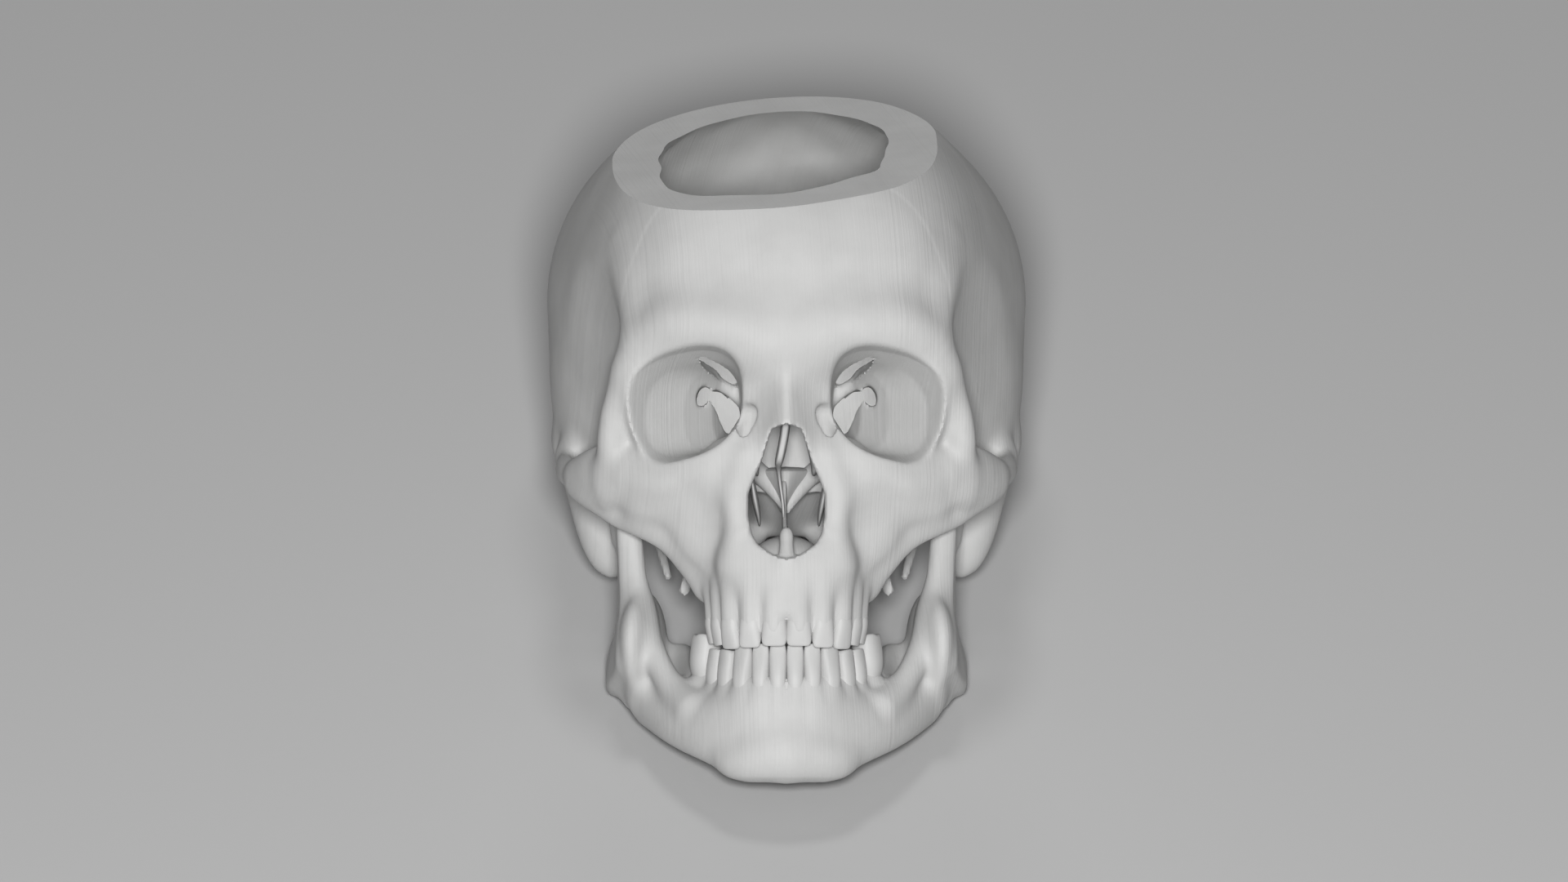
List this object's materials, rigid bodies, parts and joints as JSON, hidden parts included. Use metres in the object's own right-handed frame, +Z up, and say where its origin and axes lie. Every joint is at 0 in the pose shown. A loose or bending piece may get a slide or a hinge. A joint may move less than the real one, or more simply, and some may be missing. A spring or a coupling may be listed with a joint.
{
  "type": "anatomical skull model",
  "caption": "Adult human skull with hinged lower jaw, opened level across the crown; braincase, eye sockets, nose and cheek arches open, bones and teeth separate.",
  "frame": {"origin": "middle of the bounding box footprint, on the surface it lies on", "axes": "+X to the left side of the head, -Y the way the face looks, tipped back and up, +Z up; the skull lies on its jaw angles and the back of the head"},
  "size_m": [0.1442, 0.2416, 0.1578],
  "materials": {
    "bone": "matte cast with faint scan lines",
    "enamel": "slightly smoother than the bone"
  },
  "bodies": {
    "cranium": {"occipital_bone": "bone", "temporal_left": "bone", "temporal_right": "bone", "frontal_bone": "bone", "parietal_left": "bone", "parietal_right": "bone", "sphenoid_bone": "bone", "nasal_left": "bone", "nasal_right": "bone", "lacrimal_left": "bone", "zygomatic_left": "bone", "palatine_left": "bone", "lacrimal_right": "bone", "zygomatic_right": "bone", "palatine_right": "bone", "ethmoid_bone": "bone", "maxilla_left": "bone", "maxilla_right": "bone", "vomer": "bone", "inferior_concha_left": "bone", "inferior_concha_right": "bone", "upper_central_incisor_left": "enamel", "upper_lateral_incisor_left": "enamel", "upper_canine_left": "enamel", "upper_first_premolar_left": "enamel", "upper_second_premolar_left": "enamel", "upper_central_incisor_right": "enamel", "upper_lateral_incisor_right": "enamel", "upper_canine_right": "enamel", "upper_first_premolar_right": "enamel", "upper_second_premolar_right": "enamel"},
    "mandible": {"mandible": "bone", "lower_central_incisor_left": "enamel", "lower_lateral_incisor_left": "enamel", "lower_canine_left": "enamel", "lower_first_premolar_left": "enamel", "lower_second_premolar_left": "enamel", "lower_first_molar_left": "enamel", "lower_central_incisor_right": "enamel", "lower_lateral_incisor_right": "enamel", "lower_canine_right": "enamel", "lower_first_premolar_right": "enamel", "lower_second_premolar_right": "enamel", "lower_first_molar_right": "enamel"}
  },
  "joints": [
    {"name": "jaw_hinge", "type": "hinge", "parent": "cranium", "child": "mandible", "pos_m": [0, -0.00589, 0.05104], "axis": [1, 0, 0], "range_deg": [0, 20]}
  ]
}
